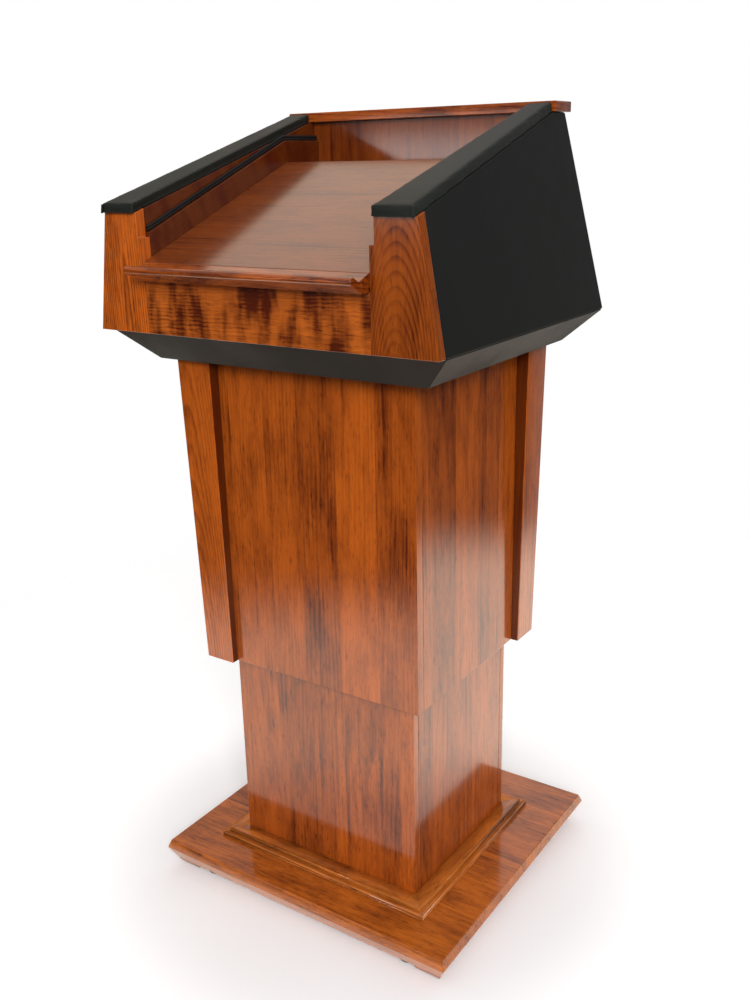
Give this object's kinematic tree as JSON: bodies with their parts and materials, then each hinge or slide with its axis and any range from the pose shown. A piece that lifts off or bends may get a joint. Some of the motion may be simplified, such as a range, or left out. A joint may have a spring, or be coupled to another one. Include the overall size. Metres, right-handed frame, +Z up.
{
  "type": "presentation lectern",
  "caption": "Height-adjustable lectern: sloping reading desk between padded armrests, on a telescoping wood pedestal with a square base.",
  "frame": {"origin": "middle of the whole object's footprint, on the floor", "axes": "+Z up, -Y towards the speaker, +Y towards the audience, +X to the speaker's right"},
  "size_m": [0.626, 0.6244, 1.3638],
  "materials": {
    "cherry": "stained cherry, high-gloss clear lacquer",
    "cherry_figured": "figured stained cherry, high-gloss clear lacquer",
    "vinyl_panel": "black upholstery vinyl, fine grain, satin",
    "armrest_vinyl": "black upholstery vinyl over foam, fine grain, satin",
    "black_plastic": "black moulded plastic",
    "steel": "grey powder coat",
    "glide": "black nylon",
    "ledge_strip": "black vinyl beading"
  },
  "bodies": {
    "base": {"base_board": "cherry", "corner_foot_front_left": "cherry", "corner_foot_front_right": "cherry", "corner_foot_back_left": "cherry", "corner_foot_back_right": "cherry", "glide_front_left": "glide", "glide_front_right": "glide", "glide_back_left": "glide", "glide_back_right": "glide", "base_trim_front": "cherry", "base_trim_right": "cherry", "base_trim_back": "cherry", "base_trim_left": "cherry", "lower_panel_front": "cherry", "lower_panel_back": "cherry", "lower_panel_left": "cherry", "lower_panel_right": "cherry", "guide_pad_left": "glide", "guide_pad_right": "glide", "power_inlet": "black_plastic", "lift_foot_plate": "steel", "lift_outer_tube": "steel"},
    "head": {"sleeve_panel_front": "cherry", "sleeve_panel_back": "cherry", "sleeve_panel_left": "cherry", "sleeve_panel_right": "cherry", "corner_pilaster_front_left": "cherry", "corner_pilaster_back_right": "cherry", "fascia_post_left": "cherry", "fascia_post_right": "cherry", "inner_back_panel": "cherry", "desk_board": "cherry", "desk_shelf": "cherry", "desk_lip": "cherry", "cap_bar": "cherry", "fascia_rail": "cherry_figured", "liner_lower_left": "cherry_figured", "liner_lower_right": "cherry_figured", "liner_upper_left": "cherry_figured", "liner_upper_right": "cherry_figured", "skirt_front": "vinyl_panel", "skirt_right": "vinyl_panel", "skirt_back": "vinyl_panel", "skirt_left": "vinyl_panel", "head_floor": "vinyl_panel", "side_panel_left": "vinyl_panel", "side_panel_right": "vinyl_panel", "back_panel": "vinyl_panel", "armrest_left": "armrest_vinyl", "armrest_right": "armrest_vinyl", "switch_housing": "black_plastic", "control_box": "black_plastic", "lift_inner_tube": "steel", "lift_top_plate": "steel", "ledge_strip_left": "ledge_strip", "ledge_strip_right": "ledge_strip"},
    "lift_middle": {"lift_middle_tube": "steel"},
    "switch": {"switch_rocker": "black_plastic"}
  },
  "joints": [
    {"name": "lift", "type": "slide", "parent": "base", "child": "head", "axis": [0, 0, 1], "range_m": [-0.305, 0]},
    {"name": "lift_middle_slide", "type": "slide", "parent": "base", "child": "lift_middle", "axis": [0, 0, 1], "range_m": [-0.1525, 0]},
    {"name": "switch_rock", "type": "hinge", "parent": "head", "child": "switch", "pos_m": [0.207, -0.19225, 1.18872], "axis": [0, 0.9329, 0.3601], "range_deg": [-8, 8], "stiffness_Nm_per_rad": 0.02}
  ],
  "couplings": [
    {"joint": "lift_middle_slide", "follows": "lift", "ratio": 0.5}
  ]
}
